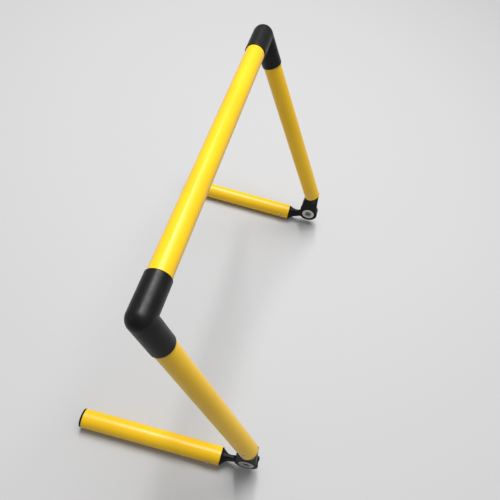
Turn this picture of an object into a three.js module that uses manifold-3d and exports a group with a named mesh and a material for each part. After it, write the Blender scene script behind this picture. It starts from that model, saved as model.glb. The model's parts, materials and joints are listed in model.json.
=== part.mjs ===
// A folding training hurdle: a crossbar on two uprights, with one foot hinged to the bottom of each upright.
// Units are millimetres. +X runs along the crossbar, the feet point along -Y and lie on the floor, +Z is up.
// The origin is on the floor, under the middle of the whole hurdle's box.
import * as THREE from "three";
import { mergeVertices } from "three/addons/utils/BufferGeometryUtils.js";
import Module from "manifold-3d";

const wasm = await Module();
wasm.setup();

// Driving dimensions
const TUBE_OD = 25;
const TUBE_WALL = 1.6;
const SPAN = 450; // between the axes of the two uprights
const UPRIGHT_REACH = 342; // hinge pivot to crossbar axis, along the upright
const FOOT_REACH = 225; // hinge pivot to the free end of the foot tube, along the foot
const OPEN_ANGLE = THREE.MathUtils.degToRad(65); // between foot and upright as the hurdle stands
const FULL_OPEN = THREE.MathUtils.degToRad(90); // where the hinge's stop lug meets the fork
const PIVOT_OFFSET = 15.5; // pivot to each tube's axis, so that the two tubes fold side by side
const UPRIGHT_SETBACK = 40; // pivot to the upright tube's lower end, along the upright
const FOOT_SETBACK = 35; // pivot to the foot tube's inner end, along the foot
const UPRIGHT_SCREW_SETBACK = 13; // screw to the end of the upright tube
const FOOT_SCREW_SETBACK = 15; // screw to the inner end of the foot tube

// Elbow
const ELBOW_OD = 27.6;
const ELBOW_REACH = 44.5; // corner of the two axes to each mouth
const SOCKET_STOP = 17; // corner to the end of each tube inside the elbow
const THROAT_RADIUS = 9.8; // between the two sockets
const MOUTH_ROUND = 1.2;

// Hinge
const CHEEK_RADIUS = 15.8;
const HINGE_WIDTH = 13; // over both cheeks of the fork
const TONGUE_WIDTH = 6;
const EYE_RADIUS = 12; // round end of the tongue
const WEB_RADIUS = 12.5; // hollow of the fork's web, round the tongue's eye
const WEB_FROM = THREE.MathUtils.degToRad(12); // edges of the web round the pivot, from +Y towards +Z
const WEB_TO = THREE.MathUtils.degToRad(66);
const STOP_RADIUS = 15.2; // tip of the tongue's stop lug
const STOP_SWEEP = 0.4; // radians that the lug takes up
const STOP_GAP = THREE.MathUtils.degToRad(1.5); // left between lug and web with the foot fully open
const COLLAR_OD = 23.4;
const COLLAR_LENGTH = 2.4;
const SPIGOT_LENGTH = 28;
const NECK_HEIGHT = 13; // of the tongue's neck where it leaves the fork, along Z when standing
const NECK_WIDTH = TONGUE_WIDTH; // there, along X: it folds in between the cheeks
const NECK_RISE = 4; // of its middle there, above the foot's axis

// Pivot bolt: a screw from the +X side, in a flanged sleeve from the -X side
const HEAD_RADIUS = 10.6;
const HEAD_HEIGHT = 1.9;
const HEAD_PROUD = 0.5; // above the cheek's face
const HEAD_RECESS_RADIUS = 6;
const HEAD_RECESS_DEPTH = 0.9;
const SLEEVE_RADIUS = 4;
const SLEEVE_BORE_RADIUS = 2.7;
const SCREW_SHANK_RADIUS = 2.4;
const DRIVE_LENGTH = 6;
const DRIVE_WIDTH = 1.3;
const DRIVE_DEPTH = 0.7;

// Fixing screws and end caps
const SCREW_HEAD_RADIUS = 2.9;
const SCREW_HEAD_HEIGHT = 1.1;
const SCREW_BODY_RADIUS = 1.4;
const SCREW_LENGTH = 9;
const CAP_FLANGE = 2.8;
const CAP_OD = 24.6;
const CAP_PLUG_LENGTH = 14;

const GAP = 0.3; // left between pieces that touch
const RUNNING_GAP = 0.15; // round a pin that turns in its hole
const ROUND = 32; // sides of a tube
const SMALL_ROUND = 20; // sides of a pin or a screw

const TUBE_RADIUS = TUBE_OD / 2;
const BORE_RADIUS = TUBE_RADIUS - TUBE_WALL;
const SPIGOT_RADIUS = BORE_RADIUS - GAP;
const LEAN = Math.PI / 2 - OPEN_ANGLE;
const PIVOT_HEIGHT = TUBE_RADIUS + PIVOT_OFFSET;
const CHEEK_FACE = HINGE_WIDTH / 2;
const SLOT_WIDTH = TONGUE_WIDTH + 2 * GAP;

// Materials
const yellow = new THREE.MeshStandardMaterial({ color: 0xf2c81e, roughness: 0.38, metalness: 0 });
const elbowBlack = new THREE.MeshStandardMaterial({ color: 0x101112, roughness: 0.5, metalness: 0 });
const hingeBlack = new THREE.MeshStandardMaterial({ color: 0x0c0d0e, roughness: 0.45, metalness: 0 });
const zinc = new THREE.MeshStandardMaterial({ color: 0xb9b8b2, roughness: 0.35, metalness: 1 });

// A closed geometry as a manifold solid, and back again
function solid(geometry) {
  const plain = geometry.clone();
  plain.deleteAttribute("normal");
  plain.deleteAttribute("uv");
  const merged = mergeVertices(plain, 1e-4);
  return new wasm.Manifold(
    new wasm.Mesh({
      numProp: 3,
      vertProperties: merged.attributes.position.array,
      triVerts: new Uint32Array(merged.index.array),
    }),
  );
}

function geometryOf(made) {
  const mesh = made.getMesh();
  const geometry = new THREE.BufferGeometry();
  geometry.setAttribute("position", new THREE.BufferAttribute(new Float32Array(mesh.vertProperties), 3));
  geometry.setIndex(new THREE.BufferAttribute(new Uint32Array(mesh.triVerts), 1));
  const flat = geometry.toNonIndexed();
  flat.computeVertexNormals();
  return flat;
}

function piece(name, made, material) {
  const mesh = new THREE.Mesh(geometryOf(made), material);
  mesh.name = name;
  return mesh;
}

// A cylinder or cone along +Z, from bottom to top, measured over the flats of its sides
function rod(radius, bottom, top, sides = ROUND, topRadius = radius) {
  const overCorners = 1 / Math.cos(Math.PI / sides);
  const geometry = new THREE.CylinderGeometry(
    topRadius * overCorners,
    radius * overCorners,
    top - bottom,
    sides,
    1,
    false,
    Math.PI / sides,
  );
  geometry.rotateX(Math.PI / 2);
  geometry.translate(0, 0, (bottom + top) / 2);
  return solid(geometry);
}

function box(low, high) {
  const size = high.map((v, i) => v - low[i]);
  const geometry = new THREE.BoxGeometry(...size);
  geometry.translate(...low.map((v, i) => v + size[i] / 2));
  return solid(geometry);
}

// A profile of (radius, height) points turned round +Z; it starts and ends on the axis
function turned(profile, sides = ROUND) {
  const overCorners = 1 / Math.cos(Math.PI / sides);
  const points = profile.map(([radius, height]) => new THREE.Vector2(radius * overCorners, height));
  return solid(new THREE.LatheGeometry(points, sides, Math.PI / sides).rotateX(Math.PI / 2));
}

// A ball whose sides line up with those of two turned arms that meet at its centre
function ball(radius) {
  const step = (2 * Math.PI) / ROUND;
  const reach = radius / Math.cos(step / 2);
  const arc = Array.from({ length: ROUND / 2 }, (_, i) => {
    const turn = (i + 0.5) * step - Math.PI / 2;
    return new THREE.Vector2(reach * Math.cos(turn), reach * Math.sin(turn));
  });
  const poles = [new THREE.Vector2(0, -radius), new THREE.Vector2(0, radius)];
  return solid(new THREE.LatheGeometry([poles[0], ...arc, poles[1]], ROUND));
}

// A shape drawn in Y (across) and Z (up), as thick as width and centred on X = 0
function plate(shape, width, steps = 12) {
  const settings = { depth: width, bevelEnabled: false, curveSegments: steps };
  const geometry = new THREE.ExtrudeGeometry(shape, settings);
  geometry.translate(0, 0, -width / 2);
  geometry.applyMatrix4(new THREE.Matrix4().set(0, 0, 1, 0, 1, 0, 0, 0, 0, 1, 0, 0, 0, 0, 0, 1));
  return solid(geometry);
}

// A rod along X through (y, z)
function crossRod(radius, from, to, sides = SMALL_ROUND) {
  return rod(radius, from, to, sides).rotate([0, 90, 0]);
}

function tube(length) {
  return rod(TUBE_RADIUS, 0, length).subtract(rod(BORE_RADIUS, -1, length + 1));
}

// A closed solid through rings that have the same number of points, flat at both ends
function lofted(rings) {
  const count = rings[0].length;
  const positions = rings.flat().flatMap((point) => point.toArray());
  const faces = [];
  for (let ring = 0; ring < rings.length - 1; ring += 1) {
    for (let i = 0; i < count; i += 1) {
      const next = (i + 1) % count;
      const [a, b] = [ring * count + i, ring * count + next];
      const [c, d] = [a + count, b + count];
      faces.push(a, b, d, a, d, c);
    }
  }
  const last = (rings.length - 1) * count;
  for (let i = 1; i < count - 1; i += 1) {
    faces.push(0, i + 1, i);
    faces.push(last, last + i, last + i + 1);
  }
  const geometry = new THREE.BufferGeometry();
  geometry.setAttribute("position", new THREE.BufferAttribute(new Float32Array(positions), 3));
  geometry.setIndex(faces);
  return solid(geometry);
}

// Two equal arms along -X and -Z, turned from the same profile, with a ball where they meet
function cornered(profile, radius) {
  const down = turned(profile).rotate([180, 0, 0]);
  return down.add(down.rotate([0, 90, 0])).add(ball(radius));
}

// Elbow with its corner at the origin and its two sockets along -X and -Z
function elbow() {
  const outer = ELBOW_OD / 2;
  const socket = TUBE_RADIUS + GAP / 2;
  const outside = [
    [0, 0],
    [outer, 0],
    [outer, ELBOW_REACH - MOUTH_ROUND],
    [outer - MOUTH_ROUND / 2, ELBOW_REACH],
    [0, ELBOW_REACH],
  ];
  const inside = [
    [0, 0],
    [THROAT_RADIUS, 0],
    [THROAT_RADIUS, SOCKET_STOP - GAP],
    [socket, SOCKET_STOP - GAP],
    [socket, ELBOW_REACH + 1],
    [0, ELBOW_REACH + 1],
  ];
  return cornered(outside, outer).subtract(cornered(inside, THROAT_RADIUS));
}

// Side outline of the fork: a round cheek at the pivot, and a neck up to the collar
function forkShape() {
  const collarBase = UPRIGHT_SETBACK - COLLAR_LENGTH;
  const near = PIVOT_OFFSET - COLLAR_OD / 2;
  const far = PIVOT_OFFSET + COLLAR_OD / 2;
  const shape = new THREE.Shape();
  shape.moveTo(far, collarBase);
  shape.lineTo(CHEEK_RADIUS, 6);
  shape.quadraticCurveTo(CHEEK_RADIUS - 0.8, 2, CHEEK_RADIUS, 0);
  shape.absarc(0, 0, CHEEK_RADIUS, 0, Math.PI * 0.75, true);
  shape.quadraticCurveTo(-CHEEK_RADIUS * 0.35, collarBase * 0.66, near, collarBase);
  return shape;
}

// The fork's slot: the whole of its side outline except the web, whose lower edge is the foot's stop
function slotShape() {
  const reach = 60;
  const shape = new THREE.Shape();
  shape.moveTo(reach, -reach);
  shape.lineTo(reach, reach * Math.tan(WEB_FROM));
  shape.absarc(0, 0, WEB_RADIUS, WEB_FROM, WEB_TO, false);
  shape.lineTo(-WEB_RADIUS / 2, UPRIGHT_SETBACK - COLLAR_LENGTH - 3);
  shape.lineTo(-reach, UPRIGHT_SETBACK - COLLAR_LENGTH - 3);
  shape.lineTo(-reach, -reach);
  return shape;
}

// Spigot and collar of a hinge half, along +Z from the collar's base, on the tube's axis
function spigot(setback) {
  const base = setback - COLLAR_LENGTH;
  const tip = setback + SPIGOT_LENGTH;
  return turned([
    [0, base],
    [COLLAR_OD / 2 - 0.6, base],
    [COLLAR_OD / 2, base + 0.6],
    [COLLAR_OD / 2, setback - GAP],
    [SPIGOT_RADIUS, setback - GAP],
    [SPIGOT_RADIUS, tip - 1.5],
    [SPIGOT_RADIUS - 1.5, tip],
    [0, tip],
  ]);
}

// Pilot hole for the fixing screw, from the +X side
function pilot(height) {
  const from = SPIGOT_RADIUS - SCREW_LENGTH;
  return crossRod(SCREW_BODY_RADIUS + RUNNING_GAP, from, TUBE_RADIUS + 1, 16).translate([0, 0, height]);
}

// Counterbores for the two pivot heads, and the hole between them
function pivotHole() {
  const seat = CHEEK_FACE + HEAD_PROUD - HEAD_HEIGHT - GAP;
  const sink = crossRod(HEAD_RADIUS + GAP, seat, HINGE_WIDTH, ROUND);
  const hole = crossRod(SLEEVE_RADIUS + GAP / 2, -HINGE_WIDTH, HINGE_WIDTH);
  return hole.add(sink).add(sink.rotate([0, 180, 0]));
}

// Upper half of the hinge, in the upright's frame: pivot at the origin, upright along +Z
function fork() {
  const collarBase = UPRIGHT_SETBACK - COLLAR_LENGTH;
  const flare = rod(CHEEK_FACE, collarBase - 14, collarBase, ROUND, COLLAR_OD / 2 - 0.6);
  const onAxis = spigot(UPRIGHT_SETBACK).add(flare).subtract(pilot(UPRIGHT_SETBACK + UPRIGHT_SCREW_SETBACK));
  const body = plate(forkShape(), HINGE_WIDTH).add(onAxis.translate([0, PIVOT_OFFSET, 0]));
  return body.subtract(plate(slotShape(), SLOT_WIDTH)).subtract(pivotHole());
}

// The lug that meets the web's edge when the foot is fully open
function stopLug() {
  const leading = WEB_FROM - STOP_GAP - FULL_OPEN;
  const trailing = leading - STOP_SWEEP;
  const shape = new THREE.Shape();
  shape.moveTo(0, 0);
  shape.lineTo(STOP_RADIUS * Math.cos(trailing), STOP_RADIUS * Math.sin(trailing));
  shape.absarc(0, 0, STOP_RADIUS, trailing, leading, false);
  return plate(shape, TONGUE_WIDTH, 4);
}

// A ring of points in the plane at the given height: an oval for a roundness of 1, and boxier below that
function neckRing(middle, height, halfWidth, halfHeight, roundness) {
  return Array.from({ length: ROUND }, (_, i) => {
    const turn = ((i + 0.5) / ROUND) * 2 * Math.PI;
    const [across, up] = [Math.cos(turn), Math.sin(turn)];
    const x = Math.sign(across) * Math.abs(across) ** roundness * halfWidth;
    const y = Math.sign(up) * Math.abs(up) ** roundness * halfHeight;
    return new THREE.Vector3(x, middle + y, height);
  });
}

// Lower half of the hinge, in the foot's frame: pivot at the origin, foot along +Z at Y = -PIVOT_OFFSET
function tongue() {
  const collarBase = FOOT_SETBACK - COLLAR_LENGTH;
  const neckEnd = CHEEK_RADIUS + 1;
  const neckLength = collarBase - neckEnd;
  const collarRadius = COLLAR_OD / 2 - 0.8;
  // From the fork to the collar: how far along, how far down to the foot's axis, how wide, how round
  const stations = [
    [0, 0, 0, 0.4],
    [0.5, 0.5, 0.04, 0.5],
    [0.7, 0.8, 0.4, 0.8],
    [1, 1, 1, 1],
  ];
  const neck = lofted(
    stations.map(([along, down, widen, roundness]) =>
      neckRing(
        -PIVOT_OFFSET + NECK_RISE * (1 - down),
        neckEnd + along * (neckLength + 0.4),
        THREE.MathUtils.lerp(NECK_WIDTH / 2, collarRadius, widen),
        THREE.MathUtils.lerp(NECK_HEIGHT / 2, collarRadius, down),
        roundness,
      ),
    ),
  );
  const top = -PIVOT_OFFSET + NECK_RISE + NECK_HEIGHT / 2 - 1.2;
  const bladeShape = new THREE.Shape();
  bladeShape.moveTo(top - NECK_HEIGHT + 2.4, neckEnd + 3);
  bladeShape.lineTo(-EYE_RADIUS, 3);
  bladeShape.absarc(0, 0, EYE_RADIUS, Math.PI, Math.PI * 0.42, false);
  bladeShape.quadraticCurveTo(-3, neckEnd - 3, top, neckEnd + 3);
  const blade = plate(bladeShape, TONGUE_WIDTH, 12).add(stopLug());
  const onAxis = spigot(FOOT_SETBACK).subtract(pilot(FOOT_SETBACK + FOOT_SCREW_SETBACK));
  const hole = crossRod(SLEEVE_RADIUS + RUNNING_GAP, -TONGUE_WIDTH, TONGUE_WIDTH);
  return blade.add(neck).add(onAxis.translate([0, -PIVOT_OFFSET, 0])).subtract(hole);
}

// Outline of a pivot head above its seat, from the axis outwards and back
function headProfile(shank) {
  const top = CHEEK_FACE + HEAD_PROUD;
  const seat = top - HEAD_HEIGHT;
  return [
    [0, shank.end],
    [shank.radius, shank.end],
    [shank.radius, seat],
    [HEAD_RADIUS, seat],
    [HEAD_RADIUS, top - 0.5],
    [HEAD_RADIUS - 0.8, top],
    [HEAD_RECESS_RADIUS, top],
    [HEAD_RECESS_RADIUS - 0.3, top - HEAD_RECESS_DEPTH],
    [0, top - HEAD_RECESS_DEPTH],
  ];
}

// Pivot screw, along +X with its head in the fork's +X cheek
function pivotScrew() {
  const head = turned(headProfile({ radius: SCREW_SHANK_RADIUS, end: -CHEEK_FACE + HEAD_HEIGHT }));
  const floor = CHEEK_FACE + HEAD_PROUD - HEAD_RECESS_DEPTH;
  const half = [DRIVE_LENGTH / 2, DRIVE_WIDTH / 2];
  const slit = box([-half[0], -half[1], floor - DRIVE_DEPTH], [half[0], half[1], floor + 1]);
  return head.subtract(slit).subtract(slit.rotate([0, 0, 90])).rotate([0, 90, 0]);
}

// Flanged sleeve that the pivot screw is driven into, with its flange in the fork's -X cheek
function pivotSleeve() {
  const end = -(CHEEK_FACE + HEAD_PROUD - HEAD_HEIGHT) + GAP;
  const body = turned(headProfile({ radius: SLEEVE_RADIUS, end }));
  return body.subtract(rod(SLEEVE_BORE_RADIUS, -HINGE_WIDTH, HINGE_WIDTH, SMALL_ROUND)).rotate([0, -90, 0]);
}

// Screw that holds a spigot in its tube, driven along -X with its head on the tube
function fixingScrew() {
  const seat = TUBE_RADIUS + GAP / 2;
  const head = rod(SCREW_HEAD_RADIUS, seat, seat + SCREW_HEAD_HEIGHT, 24, SCREW_HEAD_RADIUS * 0.72);
  const shank = rod(SCREW_BODY_RADIUS, SPIGOT_RADIUS - SCREW_LENGTH + GAP, seat + 0.2, 16);
  const top = seat + SCREW_HEAD_HEIGHT;
  const arm = box([-1.6, -0.4, top - 0.7], [1.6, 0.4, top + 1]);
  return head.add(shank).subtract(arm).subtract(arm.rotate([0, 0, 90])).rotate([0, 90, 0]);
}

// Tube end cap along +Z, with its flange outside the tube's end at Z = 0
function endCap() {
  const outer = CAP_OD / 2;
  return turned([
    [0, -CAP_PLUG_LENGTH],
    [SPIGOT_RADIUS - 1, -CAP_PLUG_LENGTH],
    [SPIGOT_RADIUS, -CAP_PLUG_LENGTH + 1.5],
    [SPIGOT_RADIUS, GAP],
    [outer, GAP],
    [outer, CAP_FLANGE - 1],
    [outer - 1, CAP_FLANGE],
    [0, CAP_FLANGE],
  ]);
}

// A tube with a clearance hole for its fixing screw, at height along it
function drilledTube(length, height) {
  return tube(length).subtract(crossRod(SCREW_BODY_RADIUS + GAP, 0, TUBE_OD, 16).translate([0, 0, height]));
}

const hurdle = new THREE.Group();

// Everything at one end of the crossbar; side is +1 at the +X end and -1 at the -X end
function buildSide(side, name) {
  const pivot = new THREE.Group();
  pivot.position.set((side * SPAN) / 2, 0, PIVOT_HEIGHT);
  hurdle.add(pivot);

  const upright = new THREE.Group();
  upright.rotation.x = LEAN;
  pivot.add(upright);
  const uprightTube = piece(
    `${name}_upright_tube`,
    drilledTube(UPRIGHT_REACH - SOCKET_STOP - UPRIGHT_SETBACK, UPRIGHT_SCREW_SETBACK),
    yellow,
  );
  uprightTube.position.set(0, PIVOT_OFFSET, UPRIGHT_SETBACK);
  const corner = piece(`${name}_elbow`, elbow(), elbowBlack);
  corner.position.set(0, PIVOT_OFFSET, UPRIGHT_REACH);
  corner.rotation.z = side > 0 ? 0 : Math.PI;
  const uprightScrew = piece(`${name}_fork_screw`, fixingScrew(), zinc);
  uprightScrew.position.set(0, PIVOT_OFFSET, UPRIGHT_SETBACK + UPRIGHT_SCREW_SETBACK);
  upright.add(uprightTube, corner, uprightScrew, piece(`${name}_hinge_fork`, fork(), hingeBlack));
  upright.add(piece(`${name}_pivot_screw`, pivotScrew(), zinc));
  upright.add(piece(`${name}_pivot_sleeve`, pivotSleeve(), zinc));

  const foot = new THREE.Group();
  foot.rotation.x = Math.PI / 2;
  pivot.add(foot);
  const footTube = piece(
    `${name}_foot_tube`,
    drilledTube(FOOT_REACH - FOOT_SETBACK, FOOT_SCREW_SETBACK),
    yellow,
  );
  footTube.position.set(0, -PIVOT_OFFSET, FOOT_SETBACK);
  const cap = piece(`${name}_foot_cap`, endCap(), hingeBlack);
  cap.position.set(0, -PIVOT_OFFSET, FOOT_REACH);
  const footScrew = piece(`${name}_tongue_screw`, fixingScrew(), zinc);
  footScrew.position.set(0, -PIVOT_OFFSET, FOOT_SETBACK + FOOT_SCREW_SETBACK);
  foot.add(footTube, cap, footScrew, piece(`${name}_hinge_tongue`, tongue(), hingeBlack));
}

buildSide(1, "right");
buildSide(-1, "left");

// Crossbar, between the two elbows
const topFrame = new THREE.Group();
topFrame.position.set(0, 0, PIVOT_HEIGHT);
topFrame.rotation.x = LEAN;
hurdle.add(topFrame);
const barLength = SPAN - 2 * SOCKET_STOP;
const crossbar = piece("crossbar_tube", tube(barLength), yellow);
crossbar.position.set(-barLength / 2, PIVOT_OFFSET, UPRIGHT_REACH);
crossbar.rotation.y = Math.PI / 2;
topFrame.add(crossbar);

// Put the origin under the middle of the hurdle's box
hurdle.updateMatrixWorld(true);
const bounds = new THREE.Box3().setFromObject(hurdle, true);
hurdle.position.y = -(bounds.min.y + bounds.max.y) / 2;

export default hurdle;
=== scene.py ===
"""A folding training hurdle: a crossbar on two leaning uprights, with a foot hinged under each.

Lengths are in metres. +X runs along the crossbar, the feet point along -Y, and +Z is up. Hinge pieces
are modelled with the pivot as their origin and their own tube along +Z, and then placed at the hinge.
"""
import json
import math

import bmesh
import bpy
from mathutils import Matrix, Vector


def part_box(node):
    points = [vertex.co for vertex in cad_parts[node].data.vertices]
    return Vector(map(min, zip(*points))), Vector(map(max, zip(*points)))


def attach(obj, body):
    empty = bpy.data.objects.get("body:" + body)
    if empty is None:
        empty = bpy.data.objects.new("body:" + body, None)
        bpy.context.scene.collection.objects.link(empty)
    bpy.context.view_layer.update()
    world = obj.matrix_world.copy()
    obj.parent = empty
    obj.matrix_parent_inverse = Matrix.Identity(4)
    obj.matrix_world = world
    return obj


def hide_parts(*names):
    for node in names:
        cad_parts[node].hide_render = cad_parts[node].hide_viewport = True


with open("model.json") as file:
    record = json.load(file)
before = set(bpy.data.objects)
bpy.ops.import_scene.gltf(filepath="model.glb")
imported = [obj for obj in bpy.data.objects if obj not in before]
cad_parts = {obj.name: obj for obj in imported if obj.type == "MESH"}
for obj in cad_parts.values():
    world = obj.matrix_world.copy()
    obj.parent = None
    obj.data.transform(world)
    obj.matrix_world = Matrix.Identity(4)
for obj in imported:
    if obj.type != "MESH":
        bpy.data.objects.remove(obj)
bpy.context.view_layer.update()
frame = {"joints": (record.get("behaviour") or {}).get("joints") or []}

# Driving dimensions, the same as the frame's
TUBE_RADIUS = 0.0125
TUBE_WALL = 0.0016
OPEN_ANGLE = math.radians(65)  # between foot and upright as the hurdle stands
PIVOT_OFFSET = 0.0155  # pivot to each tube's axis
UPRIGHT_REACH = 0.342  # pivot to the crossbar's axis
FOOT_REACH = 0.225  # pivot to the free end of the foot tube
UPRIGHT_SETBACK = 0.040  # pivot to the upright tube's lower end
FOOT_SETBACK = 0.035  # pivot to the foot tube's inner end
UPRIGHT_SCREW_SETBACK = 0.013  # screw to the end of its tube
FOOT_SCREW_SETBACK = 0.015
GAP = 0.0003  # between parts that fit together
RUNNING_GAP = 0.00015  # between the tongue's eye and the sleeve

# Elbow
ELBOW_RADIUS = 0.0138
ELBOW_REACH = 0.0445  # corner to each mouth
ELBOW_MOUTH_ROUND = 0.0009
SOCKET_STOP = 0.017  # corner to the end of each tube
THROAT_RADIUS = 0.0098

# Hinge
CHEEK_RADIUS = 0.0158
CHEEK_FACE = 0.0065  # middle of the hinge to a cheek's outer face
TONGUE_WIDTH = 0.006
EYE_RADIUS = 0.012
WEB_RADIUS = 0.0125
WEB_FROM = math.radians(12)  # edges of the web round the pivot, from +Y towards +Z
WEB_TO = math.radians(66)
STOP_RADIUS = 0.0152
STOP_SWEEP = 0.4  # radians that the stop lug takes up
STOP_GAP = math.radians(1.5)
COLLAR_RADIUS = 0.0117
COLLAR_LENGTH = 0.0024
SPIGOT_LENGTH = 0.028
FLARE_LENGTH = 0.014  # of the cone from the cheeks to the fork's collar
FLARE_STEP = 0.0006  # from the cone's rim to the collar's edge
SHOULDER_HEIGHT = 0.006  # pivot to where the cheeks' outer edge turns towards the collar
SHOULDER_DIP = 0.0008
SLOT_CEILING = 0.003  # left between the slot and the fork's collar
NECK_HEIGHT = 0.013
NECK_WIDTH = TONGUE_WIDTH
NECK_RISE = 0.004  # of the neck's middle at the fork, above the foot's axis
NECK_STEP = 0.0008  # from the neck's rim to the collar's edge
NECK_SINK = 0.0004  # how far the neck goes into the collar
BLADE_INSET = 0.0012  # from the neck's edges to the blade's
BLADE_SINK = 0.003  # how far the blade goes into the neck

# Pivot bolt and its sleeve
HEAD_RADIUS = 0.0106
HEAD_HEIGHT = 0.0019
HEAD_PROUD = 0.0005
RECESS_RADIUS = 0.006
RECESS_DEPTH = 0.0009
SLEEVE_RADIUS = 0.004
SLEEVE_BORE_RADIUS = 0.0027
BOLT_RADIUS = 0.0024
BOLT_DRIVE = (0.006, 0.0013)  # length and width of the cross

# Small screws
SCREW_HOLE = 0.0017
SCREW_BODY_RADIUS = 0.0014
SCREW_HEAD_RADIUS = 0.0029
SCREW_HEAD_HEIGHT = 0.0011
SCREW_POINT_DEPTH = 0.0087  # from the plug's surface
SCREW_TAPER_DEPTH = 0.0077
SCREW_DRIVE = (0.0032, 0.0008)
DRIVE_DEPTH = 0.0007

# End cap
CAP_RADIUS = 0.0123
CAP_FLANGE = 0.0028
CAP_PLUG_LENGTH = 0.014
CAP_DISH = 0.0004

SPIGOT_RADIUS = TUBE_RADIUS - TUBE_WALL - GAP
LEAN = math.pi / 2 - OPEN_ANGLE

# Mesh detail
SIDES = 96
SMALL_SIDES = 40
NECK_SIDES = 64
SHARP_EDGE = math.radians(35)
TUBE_EDGE = 0.00025  # how far a tube's cut edges are broken
OVERLAP = 0.001  # that solids reach into or past each other where they are joined or cut
ON_AXIS = 1e-7
EASE_LIMIT = 0.49  # the share of an edge that an eased corner may take up
BALL_STEPS = 24
ELBOW_VOXEL = 0.0005
ELBOW_SOFTENING = 4
HINGE_VOXEL = 0.0004
HINGE_SOFTENING = 3

# Camera, above the near elbow and outside it, and the floor
CAMERA_PLACE = (0.4303, 0.0733, 0.7621)
CAMERA_TURN = (35.38, -8.85, 102.70)  # degrees
CAMERA_LENS = 38.93
CAMERA_SENSOR = 36
CAMERA_SHIFT = (-0.05, 0.011)
FLOOR_HALF = 4  # half the floor's side


# ---------------------------------------------------------------- mesh building


def made(name, mesh):
    """A new object in the scene, with the given mesh."""
    obj = bpy.data.objects.new(name, mesh)
    bpy.context.scene.collection.objects.link(obj)
    return obj


def smoothed(obj):
    """Smooth shading, with sharp edges left sharp and flat faces kept flat."""
    mesh = obj.data
    mesh.shade_smooth()
    mesh.set_sharp_from_angle(angle=SHARP_EDGE)
    normals = obj.modifiers.new("normals", "WEIGHTED_NORMAL")
    normals.keep_sharp = True
    return obj


def eased(corners, closed, steps=4):
    """Replaces each (radius, height, ease) corner by a curve that starts and ends ease away from it."""
    points = []
    last = len(corners) - 1
    for i, (radius, height, ease) in enumerate(corners):
        here = Vector((radius, height))
        if ease == 0 or (not closed and i in (0, last)):
            points.append(here)
            continue
        before = Vector(corners[i - 1][:2]) - here
        after = Vector(corners[(i + 1) % len(corners)][:2]) - here
        start = here + before.normalized() * min(ease, before.length * EASE_LIMIT)
        end = here + after.normalized() * min(ease, after.length * EASE_LIMIT)
        for step in range(steps + 1):
            t = step / steps
            points.append(start * (1 - t) ** 2 + here * 2 * t * (1 - t) + end * t**2)
    return points


def turned(name, corners, closed=False, sides=SIDES):
    """A solid of revolution about Z. An open profile starts and ends on the axis; a closed one is a ring."""
    points = eased(corners, closed)
    shape = bmesh.new()
    rings = []
    for point in points:
        if point.x < ON_AXIS:
            rings.append([shape.verts.new((0, 0, point.y))])
            continue
        turns = [2 * math.pi * i / sides for i in range(sides)]
        ring = [(point.x * math.cos(a), point.x * math.sin(a), point.y) for a in turns]
        rings.append([shape.verts.new(place) for place in ring])
    pairs = list(zip(rings, rings[1:]))
    if closed:
        pairs.append((rings[-1], rings[0]))
    for low, high in pairs:
        for i in range(sides):
            bottom = [low[i % len(low)], low[(i + 1) % len(low)]]
            top = [high[(i + 1) % len(high)], high[i % len(high)]]
            unique = list(dict.fromkeys(bottom + top))
            if len(unique) > 2:
                shape.faces.new(unique)
    bmesh.ops.recalc_face_normals(shape, faces=shape.faces)
    mesh = bpy.data.meshes.new(name)
    shape.to_mesh(mesh)
    shape.free()
    return made(name, mesh)


def lofted(name, rings):
    """A closed solid through rings of points, flat at both ends."""
    shape = bmesh.new()
    loops = [[shape.verts.new(point) for point in ring] for ring in rings]
    for low, high in zip(loops, loops[1:]):
        for i in range(len(low)):
            j = (i + 1) % len(low)
            shape.faces.new((low[i], low[j], high[j], high[i]))
    shape.faces.new(loops[0][::-1])
    shape.faces.new(loops[-1])
    bmesh.ops.recalc_face_normals(shape, faces=shape.faces)
    mesh = bpy.data.meshes.new(name)
    shape.to_mesh(mesh)
    shape.free()
    return made(name, mesh)


def plate(name, outline, width):
    """A plate of that width across X, from its (y, z) outline."""
    return lofted(name, [[(x, y, z) for y, z in outline] for x in (-width / 2, width / 2)])


def block(name, low, high):
    """A box between its lowest and highest corners."""
    corners = [(low[1], low[2]), (high[1], low[2]), (high[1], high[2]), (low[1], high[2])]
    obj = plate(name, corners, high[0] - low[0])
    obj.data.transform(Matrix.Translation(((low[0] + high[0]) / 2, 0, 0)))
    return obj


def moved(obj, *steps):
    """Moves the mesh itself by each matrix in turn."""
    for step in steps:
        obj.data.transform(step)
    return obj


def turn(angle, axis):
    """A rotation in degrees about the named axis."""
    return Matrix.Rotation(math.radians(angle), 4, axis)


def applied(obj):
    """Turns the object's modifiers into its mesh."""
    bpy.context.view_layer.update()
    depsgraph = bpy.context.evaluated_depsgraph_get()
    mesh = bpy.data.meshes.new_from_object(obj.evaluated_get(depsgraph))
    old = obj.data
    obj.modifiers.clear()
    obj.data = mesh
    mesh.name = obj.name
    bpy.data.meshes.remove(old)
    return obj


def cut(obj, cutters):
    """Cuts the cutters out of obj, and removes them."""
    for cutter in cutters:
        step = obj.modifiers.new("cut", "BOOLEAN")
        step.operation = "DIFFERENCE"
        step.solver = "EXACT"
        step.object = cutter
    applied(obj)
    for cutter in cutters:
        bpy.data.objects.remove(cutter)


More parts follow.
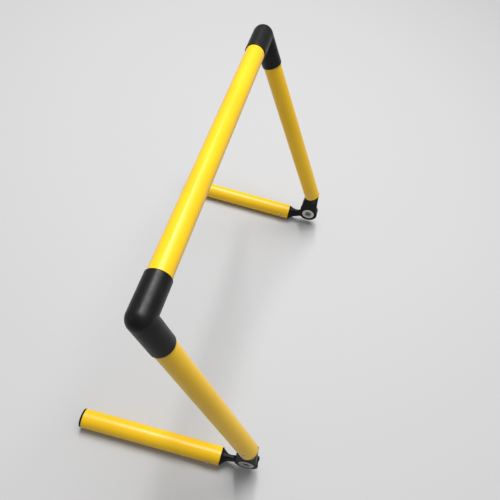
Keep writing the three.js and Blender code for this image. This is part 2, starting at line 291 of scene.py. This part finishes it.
def moulded(name, parts, voxel, softening):
    """One solid from overlapping parts, with the small fillets that a moulding has where they meet."""
    whole = bmesh.new()
    for part in parts:
        whole.from_mesh(part.data)
        bpy.data.objects.remove(part)
    mesh = bpy.data.meshes.new(name)
    whole.to_mesh(mesh)
    whole.free()
    obj = made(name, mesh)
    remesh = obj.modifiers.new("remesh", "REMESH")
    remesh.mode = "VOXEL"
    remesh.voxel_size = voxel
    soften = obj.modifiers.new("soften", "SMOOTH")
    soften.factor = 0.5
    soften.iterations = softening
    return applied(obj)


def arc(radius, start, end, steps):
    """Points on an arc about the pivot in (y, z), from start to end in radians."""
    angles = [start + (end - start) * i / steps for i in range(steps + 1)]
    return [(radius * math.cos(a), radius * math.sin(a)) for a in angles]


def curve(start, control, end, steps=12):
    """Points on a quadratic curve in (y, z), without its first."""
    points = []
    for i in range(1, steps + 1):
        t = i / steps
        weights = ((1 - t) ** 2, 2 * t * (1 - t), t * t)
        y = sum(weight * point[0] for weight, point in zip(weights, (start, control, end)))
        z = sum(weight * point[1] for weight, point in zip(weights, (start, control, end)))
        points.append((y, z))
    return points


# ---------------------------------------------------------------- materials


def shader(name):
    """A new material with its Principled shader and a way to add nodes to it."""
    material = bpy.data.materials.new(name)
    material.use_nodes = True
    tree = material.node_tree
    principled = tree.nodes["Principled BSDF"]

    def node(kind, inputs=None, **settings):
        made_node = tree.nodes.new(kind)
        for key, value in settings.items():
            setattr(made_node, key, value)
        for key, value in (inputs or {}).items():
            if isinstance(value, bpy.types.NodeSocket):
                tree.links.new(value, made_node.inputs[key])
            else:
                made_node.inputs[key].default_value = value
        return made_node

    return material, principled, node, tree.links.new


def stretched_noise(node, scale, stretch, detail, roughness=0.5):
    """Noise in the object's own coordinates, drawn out along its Z axis."""
    place = node("ShaderNodeTexCoord").outputs["Object"]
    mapped = node("ShaderNodeMapping", {"Vector": place, "Scale": (1, 1, stretch)})
    inputs = {"Vector": mapped.outputs["Vector"], "Scale": scale, "Detail": detail, "Roughness": roughness}
    return node("ShaderNodeTexNoise", inputs).outputs["Fac"]


def ramp(node, value, stops):
    """A colour ramp with the given (position, colour) stops."""
    made_node = node("ShaderNodeValToRGB", {"Fac": value})
    elements = made_node.color_ramp.elements
    while len(elements) < len(stops):
        elements.new(0.5)
    for element, (position, colour) in zip(elements, stops):
        element.position = position
        element.color = (*colour, 1)
    return made_node.outputs["Color"]


def spread(node, value, low, high, start=0.3, end=0.7):
    """Maps noise between start and end onto low to high."""
    inputs = {"Value": value, "From Min": start, "From Max": end, "To Min": low, "To Max": high}
    return node("ShaderNodeMapRange", inputs).outputs["Result"]


def yellow_plastic():
    """Extruded tube: glossy, with faint lines along its length, slow mottling and a few rub marks."""
    material, principled, node, link = shader("yellow_plastic")
    mottle = stretched_noise(node, 28, 0.35, 3)
    colour = ramp(node, mottle, [(0.3, (0.84, 0.50, 0.010)), (0.7, (0.92, 0.57, 0.014))])
    link(colour, principled.inputs["Base Color"])
    rubs = stretched_noise(node, 420, 0.03, 4, 0.65)
    link(spread(node, rubs, 0.25, 0.37), principled.inputs["Roughness"])
    lines = stretched_noise(node, 900, 0.006, 2)
    waves = stretched_noise(node, 90, 0.25, 2)
    fine = node("ShaderNodeBump", {"Height": lines, "Strength": 0.05, "Distance": 0.00012})
    broad = node(
        "ShaderNodeBump",
        {"Height": waves, "Strength": 0.09, "Distance": 0.0006, "Normal": fine.outputs["Normal"]},
    )
    link(broad.outputs["Normal"], principled.inputs["Normal"])
    principled.inputs["IOR"].default_value = 1.5
    principled.inputs["Specular IOR Level"].default_value = 0.3
    principled.inputs["Subsurface Weight"].default_value = 0.08
    principled.inputs["Subsurface Scale"].default_value = 0.002
    principled.inputs["Subsurface Radius"].default_value = (1.0, 0.6, 0.1)
    return material


def black_plastic(name, low, high, grain, bump, scuff, specular):
    """Moulded satin plastic with a fine grain, and paler scuffs where it has been knocked."""
    material, principled, node, link = shader(name)
    cloud = stretched_noise(node, 60, 1, 4, 0.6)
    base = ramp(node, cloud, [(0.35, (0.0045, 0.0048, 0.0055)), (0.7, (0.008, 0.0083, 0.009))])
    marks = stretched_noise(node, 230, 0.12, 6, 0.75)
    worn = spread(node, marks, 0, scuff, 0.62, 0.74)
    mixed = node("ShaderNodeMix", {"Factor": worn}, data_type="RGBA")
    link(base, mixed.inputs["A"])
    mixed.inputs["B"].default_value = (0.09, 0.092, 0.095, 1)
    link(mixed.outputs["Result"], principled.inputs["Base Color"])
    link(spread(node, stretched_noise(node, 150, 0.6, 5, 0.6), low, high), principled.inputs["Roughness"])
    texture = stretched_noise(node, grain, 1, 2)
    relief = node("ShaderNodeBump", {"Height": texture, "Strength": bump, "Distance": 0.0002})
    link(relief.outputs["Normal"], principled.inputs["Normal"])
    principled.inputs["IOR"].default_value = 1.45
    principled.inputs["Specular IOR Level"].default_value = specular
    return material


def zinc_plate(name, recess_shade_radius=None):
    """Dull zinc plate, cloudy, with painted shade, dark and in patches, inside the given radius of the
    piece's Z axis.
    """
    material, principled, node, link = shader(name)
    cloud = stretched_noise(node, 500, 1, 4, 0.6)
    colour = ramp(node, cloud, [(0.3, (0.46, 0.45, 0.42)), (0.7, (0.66, 0.65, 0.61))])
    if recess_shade_radius:
        # Painted shade: a near-black colour mixed in, in patches, inside the recess radius, where the head's
        # recess lies in shadow
        place = node("ShaderNodeTexCoord").outputs["Object"]
        flat = node("ShaderNodeVectorMath", {0: place, 1: (1, 1, 0)}, operation="MULTIPLY")
        length = node("ShaderNodeVectorMath", {0: flat.outputs["Vector"]}, operation="LENGTH")
        inside = spread(node, length.outputs["Value"], 1, 0, recess_shade_radius * 0.86, recess_shade_radius)
        shade_patches = spread(node, stretched_noise(node, 380, 1, 4, 0.7), 0.35, 1, 0.38, 0.58)
        shade_amount = node("ShaderNodeMath", {0: inside, 1: shade_patches}, operation="MULTIPLY").outputs["Value"]
        painted_shade = node("ShaderNodeMix", {"Factor": shade_amount}, data_type="RGBA")
        link(colour, painted_shade.inputs["A"])
        painted_shade.inputs["B"].default_value = (0.035, 0.033, 0.03, 1)
        colour = painted_shade.outputs["Result"]
    link(colour, principled.inputs["Base Color"])
    link(spread(node, cloud, 0.42, 0.28), principled.inputs["Roughness"])
    texture = stretched_noise(node, 2500, 1, 3)
    relief = node("ShaderNodeBump", {"Height": texture, "Strength": 0.12, "Distance": 0.0001})
    link(relief.outputs["Normal"], principled.inputs["Normal"])
    principled.inputs["Metallic"].default_value = 1.0
    return material


YELLOW = yellow_plastic()
ELBOW_BLACK = black_plastic("elbow_plastic", 0.32, 0.46, 2600, 0.10, 0.6, 0.27)
HINGE_BLACK = black_plastic("hinge_plastic", 0.36, 0.48, 3200, 0.10, 0.3, 0.14)
ZINC = zinc_plate("zinc_plate")
# The pivot heads' zinc has painted shade in their recesses
PIVOT_ZINC = zinc_plate("pivot_zinc_plate", RECESS_RADIUS)


def shown(obj, node, body, material, place):
    """Finishes a piece: its look, its place, the body that it rides on and the node that it stands for."""
    obj.data.materials.clear()
    obj.data.materials.append(material)
    obj.matrix_world = place
    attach(obj, body)
    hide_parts(node)


# ---------------------------------------------------------------- pieces


def tube(name, length, hole_at=None):
    """A tube along +Z from the origin, with its cut ends just broken, and a hole for its screw on +X."""
    bore = TUBE_RADIUS - TUBE_WALL
    corners = [(radius, height, TUBE_EDGE) for radius, height in (
        (TUBE_RADIUS, 0), (TUBE_RADIUS, length), (bore, length), (bore, 0),
    )]
    obj = turned(name, corners, closed=True)
    if hole_at is not None:
        reach = TUBE_RADIUS * 2
        hole = turned("hole", [(0, 0, 0), (SCREW_HOLE, 0, 0), (SCREW_HOLE, reach, 0), (0, reach, 0)])
        moved(hole, turn(90, "Y"), Matrix.Translation((0, 0, hole_at)))
        cut(obj, [hole])
    return smoothed(obj)


def cornered(name, corners, radius):
    """Two equal arms along -X and -Z from one profile, and a ball where they meet."""
    latitudes = [math.pi * (i / BALL_STEPS - 0.5) for i in range(BALL_STEPS + 1)]
    ball = [(radius * math.cos(a), radius * math.sin(a), 0) for a in latitudes]
    ball[0] = (0, -radius, 0)
    ball[-1] = (0, radius, 0)
    down = moved(turned(name + "_down", corners), turn(180, "X"))
    along = moved(turned(name + "_along", corners), turn(-90, "Y"))
    return [down, along, turned(name + "_ball", ball)]


def elbow(name):
    """A corner socket: one smooth moulding outside, with a crisp stepped bore at each mouth."""
    outside = [
        (0, -OVERLAP, 0),
        (ELBOW_RADIUS, -OVERLAP, 0),
        (ELBOW_RADIUS, ELBOW_REACH, ELBOW_MOUTH_ROUND),
        (0, ELBOW_REACH, 0),
    ]
    socket = TUBE_RADIUS + GAP / 2
    stop = SOCKET_STOP - GAP
    inside = [
        (0, -OVERLAP, 0),
        (THROAT_RADIUS, -OVERLAP, 0),
        (THROAT_RADIUS, stop, 0),
        (socket, stop, 0),
        (socket, ELBOW_REACH + OVERLAP, 0),
        (0, ELBOW_REACH + OVERLAP, 0),
    ]
    obj = moulded(name, cornered("outside", outside, ELBOW_RADIUS), ELBOW_VOXEL, ELBOW_SOFTENING)
    cut(obj, cornered("inside", inside, THROAT_RADIUS))
    return smoothed(obj)


def spigot(setback, axis_y):
    """The plug and collar of a hinge half, on its tube's axis."""
    base = setback - COLLAR_LENGTH
    tip = setback + SPIGOT_LENGTH
    corners = [
        (0, base, 0),
        (COLLAR_RADIUS, base, 0.0006),
        (COLLAR_RADIUS, setback - GAP, 0.0003),
        (SPIGOT_RADIUS, setback - GAP, 0),
        (SPIGOT_RADIUS, tip, 0.0015),
        (0, tip, 0),
    ]
    return moved(turned("spigot", corners), Matrix.Translation((0, axis_y, 0)))


def rod_x(radius, start, end):
    """A plain round bar along X through the origin, for cutting."""
    rod = turned("rod", [(0, start, 0), (radius, start, 0), (radius, end, 0), (0, end, 0)])
    return moved(rod, turn(90, "Y"))


def fork(name):
    """Upper hinge half: two round cheeks on a neck, a web that the foot's lug stops on, and the plug."""
    base = UPRIGHT_SETBACK - COLLAR_LENGTH
    near = PIVOT_OFFSET - COLLAR_RADIUS
    far = PIVOT_OFFSET + COLLAR_RADIUS
    top = base + OVERLAP
    shoulder = (CHEEK_RADIUS, SHOULDER_HEIGHT)
    outline = [(far, top), shoulder]
    outline += curve(shoulder, (CHEEK_RADIUS - SHOULDER_DIP, 0.002), (CHEEK_RADIUS, 0), 6)
    outline += arc(CHEEK_RADIUS, 0, -math.pi * 1.25, 60)[1:]
    outline += curve(outline[-1], (-CHEEK_RADIUS * 0.35, base * 0.66), (near, top))
    flare_corners = [
        (0, base - FLARE_LENGTH, 0),
        (CHEEK_FACE, base - FLARE_LENGTH, 0),
        (COLLAR_RADIUS - FLARE_STEP, base, 0),
        (0, base + OVERLAP, 0),
    ]
    flare = moved(turned("flare", flare_corners), Matrix.Translation((0, PIVOT_OFFSET, 0)))
    body = plate("cheeks", outline, CHEEK_FACE * 2)
    obj = moulded(name, [body, flare, spigot(UPRIGHT_SETBACK, PIVOT_OFFSET)], HINGE_VOXEL, HINGE_SOFTENING)

    far_away = 0.06
    ceiling = base - SLOT_CEILING
    slot = [(far_away, -far_away), (far_away, far_away * math.tan(WEB_FROM))]
    slot += arc(WEB_RADIUS, WEB_FROM, WEB_TO, 16)
    slot += [(-WEB_RADIUS / 2, ceiling), (-far_away, ceiling), (-far_away, -far_away)]
    seat = CHEEK_FACE + HEAD_PROUD - HEAD_HEIGHT - GAP
    clear = 0.02
    sink = HEAD_RADIUS + GAP
    bore = SLEEVE_RADIUS + GAP / 2
    hole = [(0, -clear, 0), (sink, -clear, 0), (sink, -seat, 0), (bore, -seat, 0)]
    hole += [(bore, seat, 0), (sink, seat, 0), (sink, clear, 0), (0, clear, 0)]
    cutters = [
        plate("slot", slot, TONGUE_WIDTH + 2 * GAP),
        moved(turned("pivot_hole", hole), turn(90, "Y")),
    ]
    cut(obj, cutters)
    return smoothed(obj)


def tongue(name):
    """Lower hinge half: a blade with its eye and stop lug, a neck that widens to a collar, and the plug."""
    base = FOOT_SETBACK - COLLAR_LENGTH
    neck_end = CHEEK_RADIUS + OVERLAP
    neck_length = base + NECK_SINK - neck_end
    collar = COLLAR_RADIUS - NECK_STEP
    # From the fork to the collar: how far along, how far down to the foot's axis, how wide, how round
    stations = [(0, 0, 0, 0.4), (0.5, 0.5, 0.04, 0.5), (0.7, 0.8, 0.4, 0.8), (1, 1, 1, 1)]
    rings = []
    for along, down, widen, roundness in stations:
        middle = -PIVOT_OFFSET + NECK_RISE * (1 - down)
        half_width = NECK_WIDTH / 2 + (collar - NECK_WIDTH / 2) * widen
        half_height = NECK_HEIGHT / 2 + (collar - NECK_HEIGHT / 2) * down
        ring = []
        for i in range(NECK_SIDES):
            angle = 2 * math.pi * (i + 0.5) / NECK_SIDES
            across, up = math.cos(angle), math.sin(angle)
            x = math.copysign(abs(across) ** roundness, across) * half_width
            y = math.copysign(abs(up) ** roundness, up) * half_height
            ring.append((x, middle + y, neck_end + along * neck_length))
        rings.append(ring)
    neck = lofted("neck", rings)

    top = -PIVOT_OFFSET + NECK_RISE + NECK_HEIGHT / 2 - BLADE_INSET
    blade_end = neck_end + BLADE_SINK
    outline = [(top - NECK_HEIGHT + 2 * BLADE_INSET, blade_end), (-EYE_RADIUS, 0.003)]
    outline += arc(EYE_RADIUS, math.pi, math.pi * 2.42, 60)
    outline += curve(outline[-1], (-0.003, neck_end - 0.003), (top, blade_end))
    blade = plate("blade", outline, TONGUE_WIDTH)
    leading = WEB_FROM - STOP_GAP - math.pi / 2
    lug = plate("lug", [(0, 0), *arc(STOP_RADIUS, leading - STOP_SWEEP, leading, 8)], TONGUE_WIDTH)
    obj = moulded(name, [blade, lug, neck, spigot(FOOT_SETBACK, -PIVOT_OFFSET)], HINGE_VOXEL, HINGE_SOFTENING)
    clear = 0.01
    cut(obj, [rod_x(SLEEVE_RADIUS + RUNNING_GAP, -clear, clear)])
    return smoothed(obj)


def cross_cut(size, floor):
    """A cross-shaped cutter along Z for a screw's drive, of that length and width, into the floor."""
    length, width = size
    low = floor - DRIVE_DEPTH
    high = floor + OVERLAP
    halves = []
    for across, along in ((length / 2, width / 2), (width / 2, length / 2)):
        halves.append(block("slit", (-across, -along, low), (across, along, high)))
    return halves


def pivot_head(name, shank_radius, shank_end, drive):
    """A flat flanged head above a shank along -Z, with a shallow round recess."""
    top = CHEEK_FACE + HEAD_PROUD
    seat = top - HEAD_HEIGHT
    corners = [
        (0, shank_end, 0),
        (shank_radius, shank_end, 0.0003),
        (shank_radius, seat, 0),
        (HEAD_RADIUS, seat, 0.0001),
        (HEAD_RADIUS, top, 0.0006),
        (RECESS_RADIUS, top, 0.0003),
        (RECESS_RADIUS - 0.0003, top - RECESS_DEPTH, 0.0002),
        (0, top - RECESS_DEPTH, 0),
    ]
    obj = turned(name, corners)
    if drive:
        cut(obj, cross_cut(BOLT_DRIVE, top - RECESS_DEPTH))
    else:
        start = shank_end - OVERLAP
        radius = SLEEVE_BORE_RADIUS
        bore = [(0, start, 0), (radius, start, 0), (radius, top, 0), (0, top, 0)]
        cut(obj, [turned("bore", bore)])
    return smoothed(obj)


def fixing_screw(name):
    """A small pan head screw along +Z, with its head's underside on the tube."""
    seat = TUBE_RADIUS + GAP / 2
    head = SCREW_HEAD_RADIUS
    height = SCREW_HEAD_HEIGHT
    corners = [
        (0, SPIGOT_RADIUS - SCREW_POINT_DEPTH, 0),
        (SCREW_BODY_RADIUS, SPIGOT_RADIUS - SCREW_TAPER_DEPTH, 0),
        (SCREW_BODY_RADIUS, seat, 0),
        (head, seat, 0.0001),
        (head * 0.98, seat + height * 0.45, 0.0003),
        (head * 0.6, seat + height, 0.0005),
        (0, seat + height, 0),
    ]
    obj = turned(name, corners, sides=SMALL_SIDES)
    cut(obj, cross_cut(SCREW_DRIVE, seat + height))
    return smoothed(obj)


def end_cap(name):
    """A push-in cap: a flange over the tube's end, slightly dished, and a plug inside."""
    outer = CAP_RADIUS
    flange = CAP_FLANGE
    corners = [
        (0, -CAP_PLUG_LENGTH, 0),
        (SPIGOT_RADIUS, -CAP_PLUG_LENGTH, 0.0012),
        (SPIGOT_RADIUS, GAP, 0),
        (outer, GAP, 0.0002),
        (outer, flange, 0.0011),
        (outer * 0.72, flange, 0.0006),
        (outer * 0.68, flange - CAP_DISH, 0.0005),
        (0, flange - CAP_DISH, 0),
    ]
    return smoothed(turned(name, corners))


# ---------------------------------------------------------------- assembly

pivots = {joint["name"].split("_")[0]: Vector(joint["pos_m"]) for joint in frame["joints"]}


def build_side(side, pivot):
    """One upright with its elbow, hinge and foot. Both sides have their screw heads on +X."""
    upright = Matrix.Translation(pivot) @ Matrix.Rotation(LEAN, 4, "X")
    foot = Matrix.Translation(pivot) @ Matrix.Rotation(math.pi / 2, 4, "X")
    foot_body = f"{side}_foot"
    upright_axis = upright @ Matrix.Translation((0, PIVOT_OFFSET, 0))
    foot_axis = foot @ Matrix.Translation((0, -PIVOT_OFFSET, 0))
    across = turn(90, "Y")

    def up(distance):
        return Matrix.Translation((0, 0, distance))

    upright_length = UPRIGHT_REACH - SOCKET_STOP - UPRIGHT_SETBACK
    shown(
        tube(f"{side}_upright", upright_length, UPRIGHT_SCREW_SETBACK),
        f"{side}_upright_tube", "frame", YELLOW, upright_axis @ up(UPRIGHT_SETBACK),
    )
    facing = turn(0 if pivot.x > 0 else 180, "Z")
    shown(
        elbow(f"{side}_corner"),
        f"{side}_elbow", "frame", ELBOW_BLACK, upright_axis @ up(UPRIGHT_REACH) @ facing,
    )
    shown(fork(f"{side}_fork"), f"{side}_hinge_fork", "frame", HINGE_BLACK, upright)
    screw_up = upright_axis @ up(UPRIGHT_SETBACK + UPRIGHT_SCREW_SETBACK) @ across
    shown(fixing_screw(f"{side}_upper_screw"), f"{side}_fork_screw", "frame", ZINC, screw_up)
    screw_head = pivot_head(f"{side}_pivot_bolt", BOLT_RADIUS, -CHEEK_FACE + HEAD_HEIGHT, True)
    shown(screw_head, f"{side}_pivot_screw", "frame", PIVOT_ZINC, upright @ across)
    sleeve_end = -(CHEEK_FACE + HEAD_PROUD - HEAD_HEIGHT) + GAP
    sleeve = pivot_head(f"{side}_pivot_barrel", SLEEVE_RADIUS, sleeve_end, False)
    shown(sleeve, f"{side}_pivot_sleeve", "frame", PIVOT_ZINC, upright @ turn(-90, "Y"))

    shown(
        tube(f"{side}_leg", FOOT_REACH - FOOT_SETBACK, FOOT_SCREW_SETBACK),
        f"{side}_foot_tube", foot_body, YELLOW, foot_axis @ up(FOOT_SETBACK),
    )
    cap_place = foot_axis @ up(FOOT_REACH)
    shown(end_cap(f"{side}_cap"), f"{side}_foot_cap", foot_body, HINGE_BLACK, cap_place)
    shown(tongue(f"{side}_tongue"), f"{side}_hinge_tongue", foot_body, HINGE_BLACK, foot)
    screw_down = foot_axis @ up(FOOT_SETBACK + FOOT_SCREW_SETBACK) @ across
    lower = fixing_screw(f"{side}_lower_screw")
    shown(lower, f"{side}_tongue_screw", foot_body, ZINC, screw_down)


def build_crossbar():
    """The bar, as long as the frame's and in its place."""
    low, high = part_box("crossbar_tube")
    middle = (low + high) / 2
    place = Matrix.Translation((low.x, middle.y, middle.z)) @ turn(90, "Y")
    shown(tube("crossbar", high.x - low.x), "crossbar_tube", "frame", YELLOW, place)


def build_floor():
    """A plain pale floor, which is no part of the hurdle."""
    mesh = bpy.data.meshes.new("floor")
    half = FLOOR_HALF
    corners = [(-half, -half, 0), (half, -half, 0), (half, half, 0), (-half, half, 0)]
    mesh.from_pydata(corners, [], [(0, 1, 2, 3)])
    floor = made("floor", mesh)
    material, principled, _, _ = shader("pale_floor")
    principled.inputs["Base Color"].default_value = (0.50, 0.50, 0.505, 1)
    principled.inputs["Roughness"].default_value = 0.7
    principled.inputs["Specular IOR Level"].default_value = 0.3
    mesh.materials.append(material)


def add_light(name, place, target, size, power):
    """A rectangular lamp of that size and power, aimed at the target."""
    data = bpy.data.lights.new(name, "AREA")
    data.shape = "RECTANGLE"
    data.size, data.size_y = size
    data.energy = power
    light = bpy.data.objects.new(name, data)
    light.location = place
    light.rotation_euler = (Vector(target) - Vector(place)).to_track_quat("-Z", "Y").to_euler()
    bpy.context.scene.collection.objects.link(light)


def build_lights():
    """A soft light overhead, a long strip for the highlights, and an even sky."""
    add_light("overhead", (-0.5, 0.1, 2.2), (0, 0, 0.1), (1.3, 1.3), 44)
    add_light("ceiling_strip", (-1.25, -0.4, 3.0), (0, -0.1, 0), (0.12, 1.8), 40)
    world = bpy.data.worlds.new("studio")
    world.use_nodes = True
    world.node_tree.nodes["Background"].inputs["Color"].default_value = (1, 1, 1, 1)
    world.node_tree.nodes["Background"].inputs["Strength"].default_value = 0.32
    bpy.context.scene.world = world


def build_camera():
    """The camera of the main view."""
    data = bpy.data.cameras.new("camera")
    data.sensor_width = CAMERA_SENSOR
    data.lens = CAMERA_LENS
    data.shift_x, data.shift_y = CAMERA_SHIFT
    camera = bpy.data.objects.new("camera", data)
    camera.location = CAMERA_PLACE
    camera.rotation_euler = [math.radians(angle) for angle in CAMERA_TURN]
    bpy.context.scene.collection.objects.link(camera)
    bpy.context.scene.camera = camera


for side_name, pivot_place in pivots.items():
    build_side(side_name, pivot_place)
build_crossbar()
build_floor()
build_lights()
build_camera()
bpy.context.scene.view_settings.view_transform = "Standard"

bpy.context.view_layer.update()
